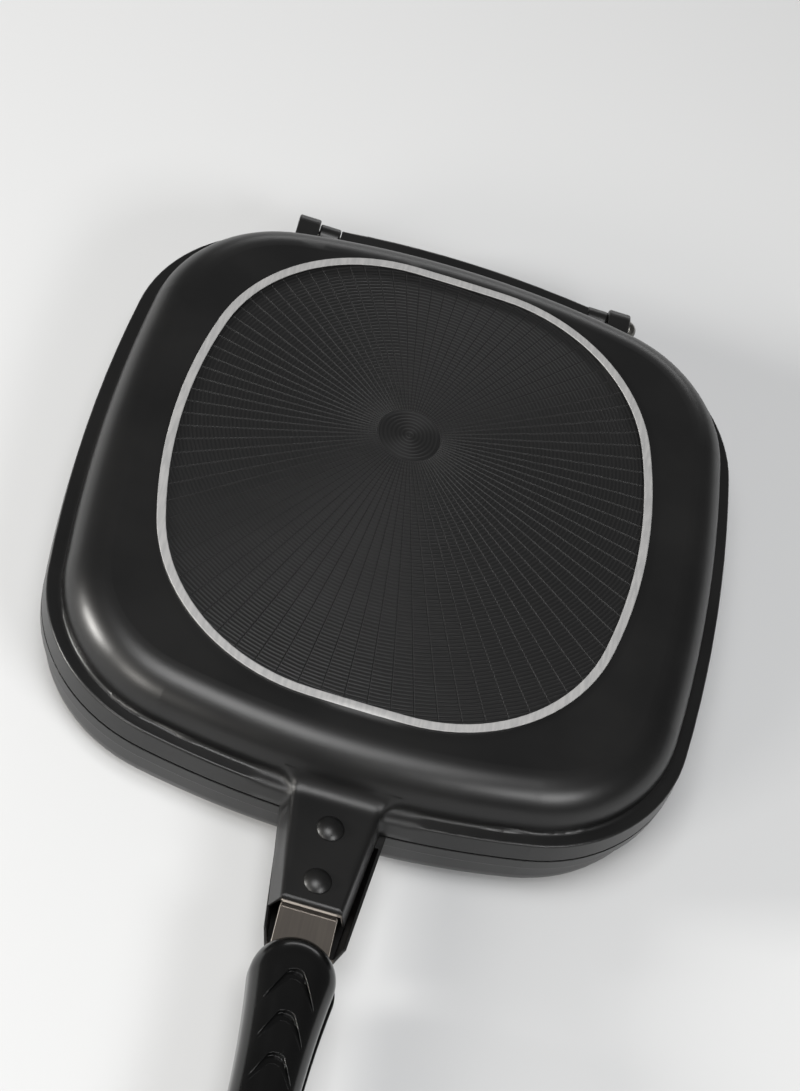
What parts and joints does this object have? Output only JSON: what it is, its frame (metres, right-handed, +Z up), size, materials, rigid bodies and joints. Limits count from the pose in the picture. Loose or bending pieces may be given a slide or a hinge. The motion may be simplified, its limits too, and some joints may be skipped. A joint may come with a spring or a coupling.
{
  "type": "double sided flip pan",
  "caption": "Two shallow cast pans that close on each other, hinged at the back, each carrying half of a long handle at the front.",
  "frame": {"origin": "centre of the lower pan's flat base, at its underside", "axes": "+Z up through the closed pans, +Y from the handles towards the hinge, +X to the right seen from the handle end"},
  "size_m": [0.29, 0.5069, 0.0655],
  "materials": {
    "coated_casting": "satin black non-stick coating on cast aluminium",
    "seal_rubber": "matte",
    "rod_steel": "drawn",
    "strap_steel": "polished edges",
    "grip_plastic": "gloss",
    "rivet_aluminium": "domed heads, satin",
    "screw_steel": "plated",
    "insert_brass": "turned",
    "magnet_plating": "nickel plated"
  },
  "bodies": {
    "lower": {"lower_pan": "coated_casting", "rim_gasket": "seal_rubber", "lower_strap": "strap_steel", "lower_grip": "grip_plastic", "lower_arm_rivets": "rivet_aluminium", "lower_rivet_washers": "strap_steel", "lower_grip_screws": "screw_steel", "lower_grip_inserts": "insert_brass", "lower_magnet": "magnet_plating", "lower_magnet_cup": "screw_steel"},
    "upper": {"upper_pan": "coated_casting", "hinge_rod": "rod_steel", "hinge_washer": "rod_steel", "upper_strap": "strap_steel", "upper_grip": "grip_plastic", "upper_arm_rivets": "rivet_aluminium", "upper_rivet_washers": "strap_steel", "upper_grip_screws": "screw_steel", "upper_grip_inserts": "insert_brass", "upper_magnet": "magnet_plating", "upper_magnet_cup": "screw_steel"}
  },
  "joints": [
    {"name": "pan_hinge", "type": "hinge", "parent": "lower", "child": "upper", "pos_m": [0, 0.1554, 0.033], "axis": [-1, 0, 0], "range_deg": [0, 180]}
  ]
}
